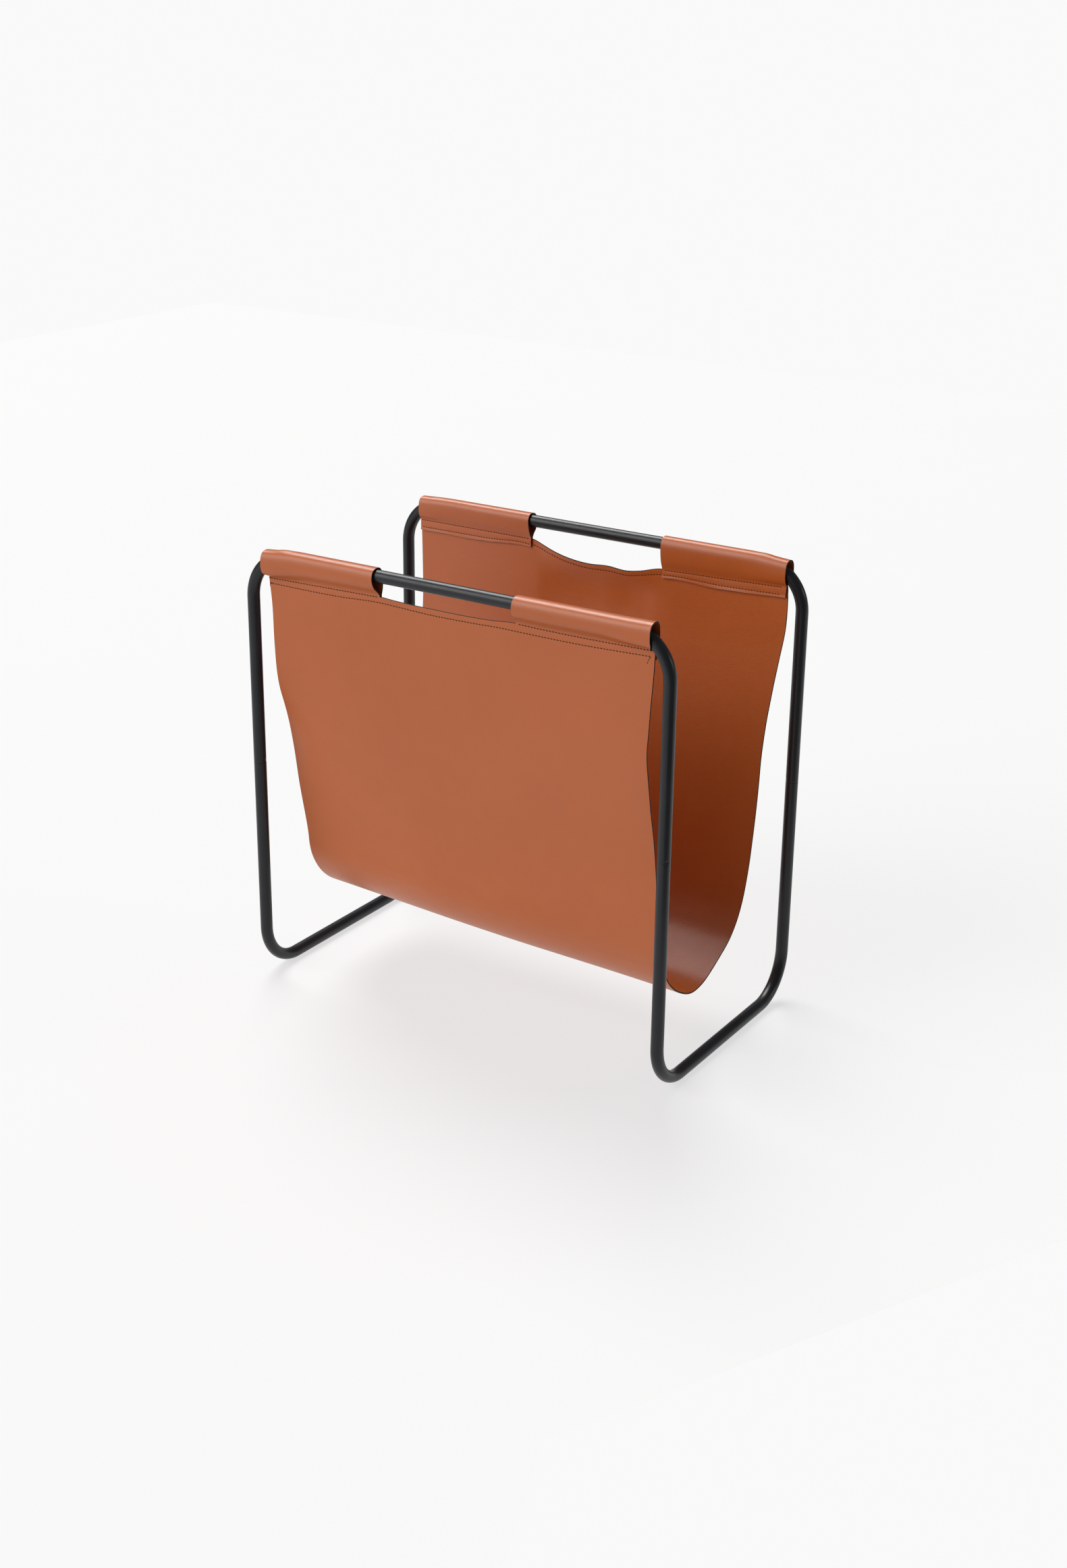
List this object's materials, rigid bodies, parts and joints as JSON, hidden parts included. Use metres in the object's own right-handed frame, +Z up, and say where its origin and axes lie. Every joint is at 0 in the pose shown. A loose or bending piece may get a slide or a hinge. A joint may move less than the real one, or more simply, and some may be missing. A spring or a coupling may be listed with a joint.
{
  "type": "magazine rack",
  "caption": "Open magazine rack: a leather sling hung by stitched sleeves from the top bars of a bent steel tube frame, with a bare stretch of bar on each side as a handle.",
  "frame": {"origin": "on the floor, under the middle of the rack", "axes": "+X along the top bars, +Y from the front panel to the back panel, +Z up"},
  "size_m": [0.385, 0.219, 0.3715],
  "materials": {
    "frame_coating": "satin powder coat",
    "sling_leather": "smooth, satin",
    "seam_thread": "waxed thread",
    "pin_steel": "turned, bare"
  },
  "bodies": {
    "root": {"front_top_hoop": "frame_coating", "back_top_hoop": "frame_coating", "left_base_hoop": "frame_coating", "right_base_hoop": "frame_coating", "front_left_splice_pin": "pin_steel", "front_right_splice_pin": "pin_steel", "back_left_splice_pin": "pin_steel", "back_right_splice_pin": "pin_steel", "leather_sling": "sling_leather", "front_upper_seam_left_needle_thread": "seam_thread", "front_upper_seam_left_bobbin_thread": "seam_thread", "front_upper_seam_right_needle_thread": "seam_thread", "front_upper_seam_right_bobbin_thread": "seam_thread", "front_lower_seam_needle_thread": "seam_thread", "front_lower_seam_bobbin_thread": "seam_thread", "back_upper_seam_left_needle_thread": "seam_thread", "back_upper_seam_left_bobbin_thread": "seam_thread", "back_upper_seam_right_needle_thread": "seam_thread", "back_upper_seam_right_bobbin_thread": "seam_thread", "back_lower_seam_needle_thread": "seam_thread", "back_lower_seam_bobbin_thread": "seam_thread"}
  },
  "joints": []
}
